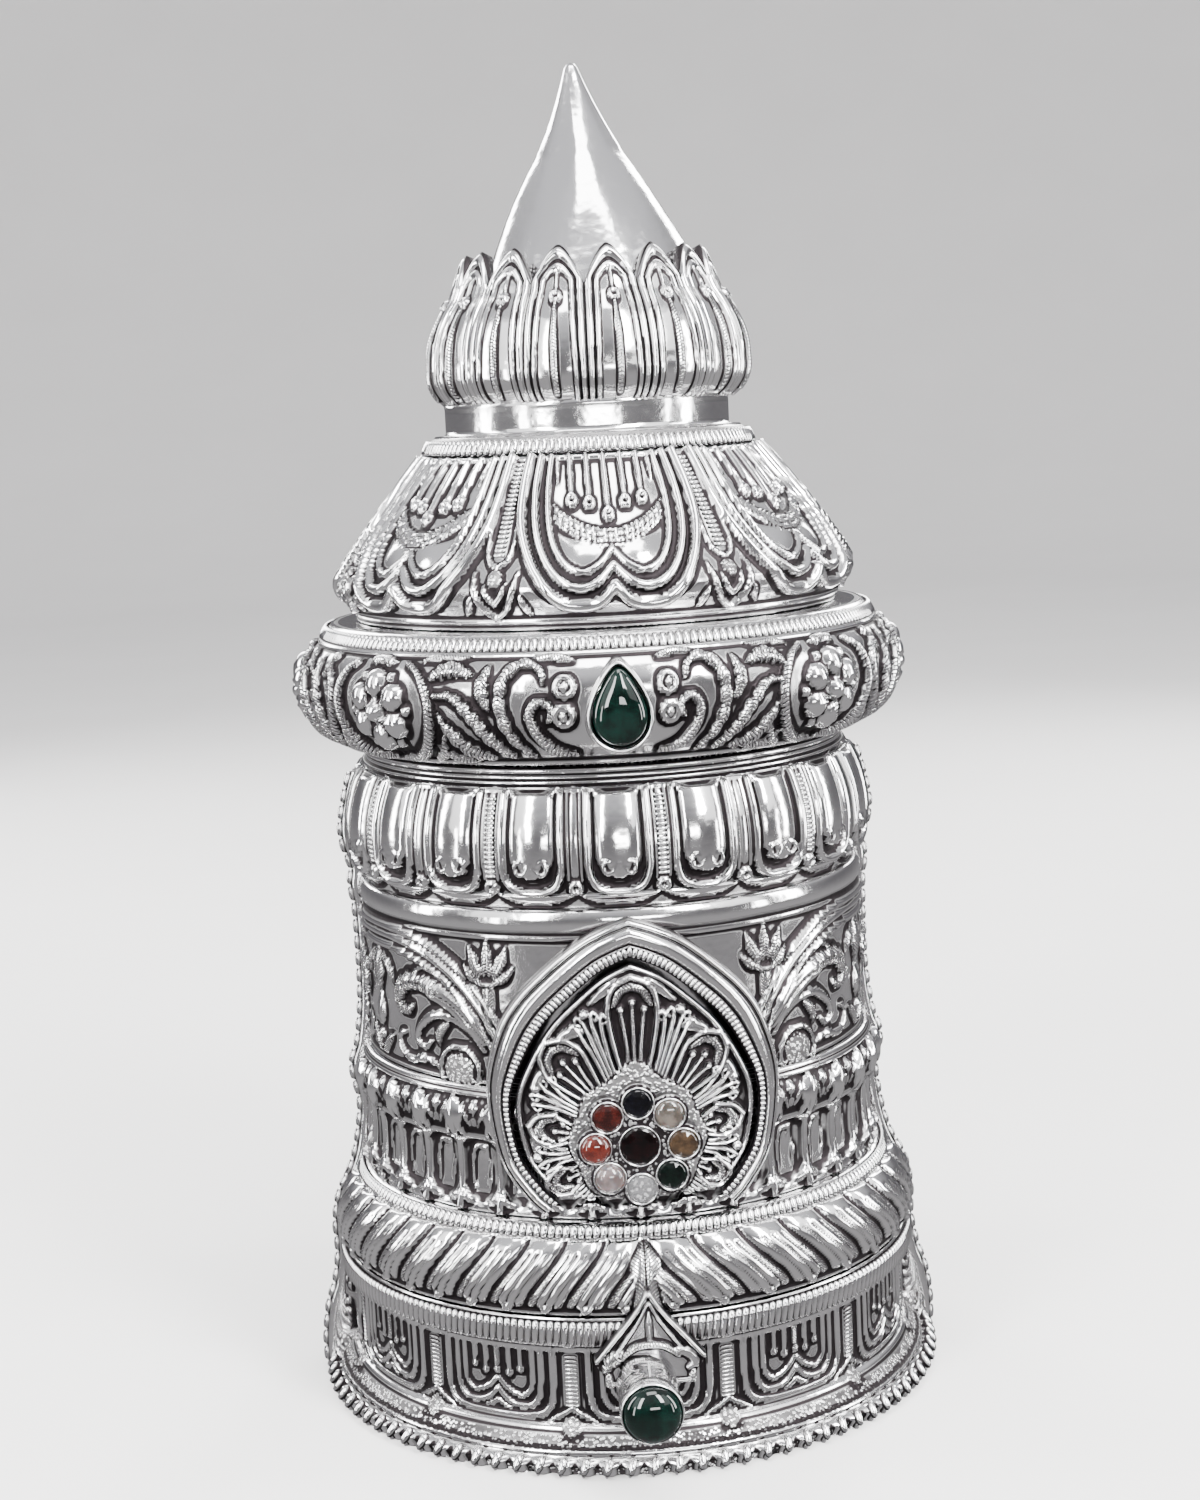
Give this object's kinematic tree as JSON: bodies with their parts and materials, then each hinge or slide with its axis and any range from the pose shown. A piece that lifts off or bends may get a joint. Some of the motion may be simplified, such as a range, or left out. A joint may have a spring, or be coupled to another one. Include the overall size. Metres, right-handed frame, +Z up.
{
  "type": "temple crown",
  "caption": "Tall silver temple crown of raised tiers with a lotus finial, a smooth pointed cone, a jewelled front arch and green cabochons.",
  "frame": {"origin": "middle of the base rim, on the surface that the crown stands on", "axes": "+Z up, front faces -Y, +X to the right of a viewer in front"},
  "size_m": [0.152, 0.1683, 0.3146],
  "materials": {
    "silver": "bright raised silver, dark in the recesses",
    "dark_garnet": "polished dark red stone",
    "dark_sapphire": "polished near-black blue stone",
    "cats_eye": "milky grey domed stone",
    "hessonite": "polished brown stone",
    "dark_emerald": "polished near-black green stone",
    "clear_stone": "clear cut stone",
    "pearl": "pearl lustre",
    "coral": "polished orange-red coral",
    "green_cabochon": "polished dark green stone"
  },
  "bodies": {
    "root": {"base_ring": "silver", "leaf_moulding": "silver", "fluted_waist": "silver", "drum": "silver", "tongue_collar": "silver", "shoulder_ring": "silver", "petal_dome": "silver", "neck_collar": "silver", "lotus_cup": "silver", "cone_finial": "silver", "arch_frame": "silver", "fan_panel": "silver", "stone_plate": "silver", "stone_middle": "dark_garnet", "stone_top": "dark_sapphire", "stone_top_right": "cats_eye", "stone_right": "hessonite", "stone_low_right": "dark_emerald", "stone_bottom": "clear_stone", "stone_low_left": "pearl", "stone_left": "coral", "stone_top_left": "dark_garnet", "teardrop_stone": "green_cabochon", "leaf_plaque": "silver", "jewel_post": "silver", "base_stone": "green_cabochon", "side_strip_left": "silver", "side_strip_right": "silver"}
  },
  "joints": []
}
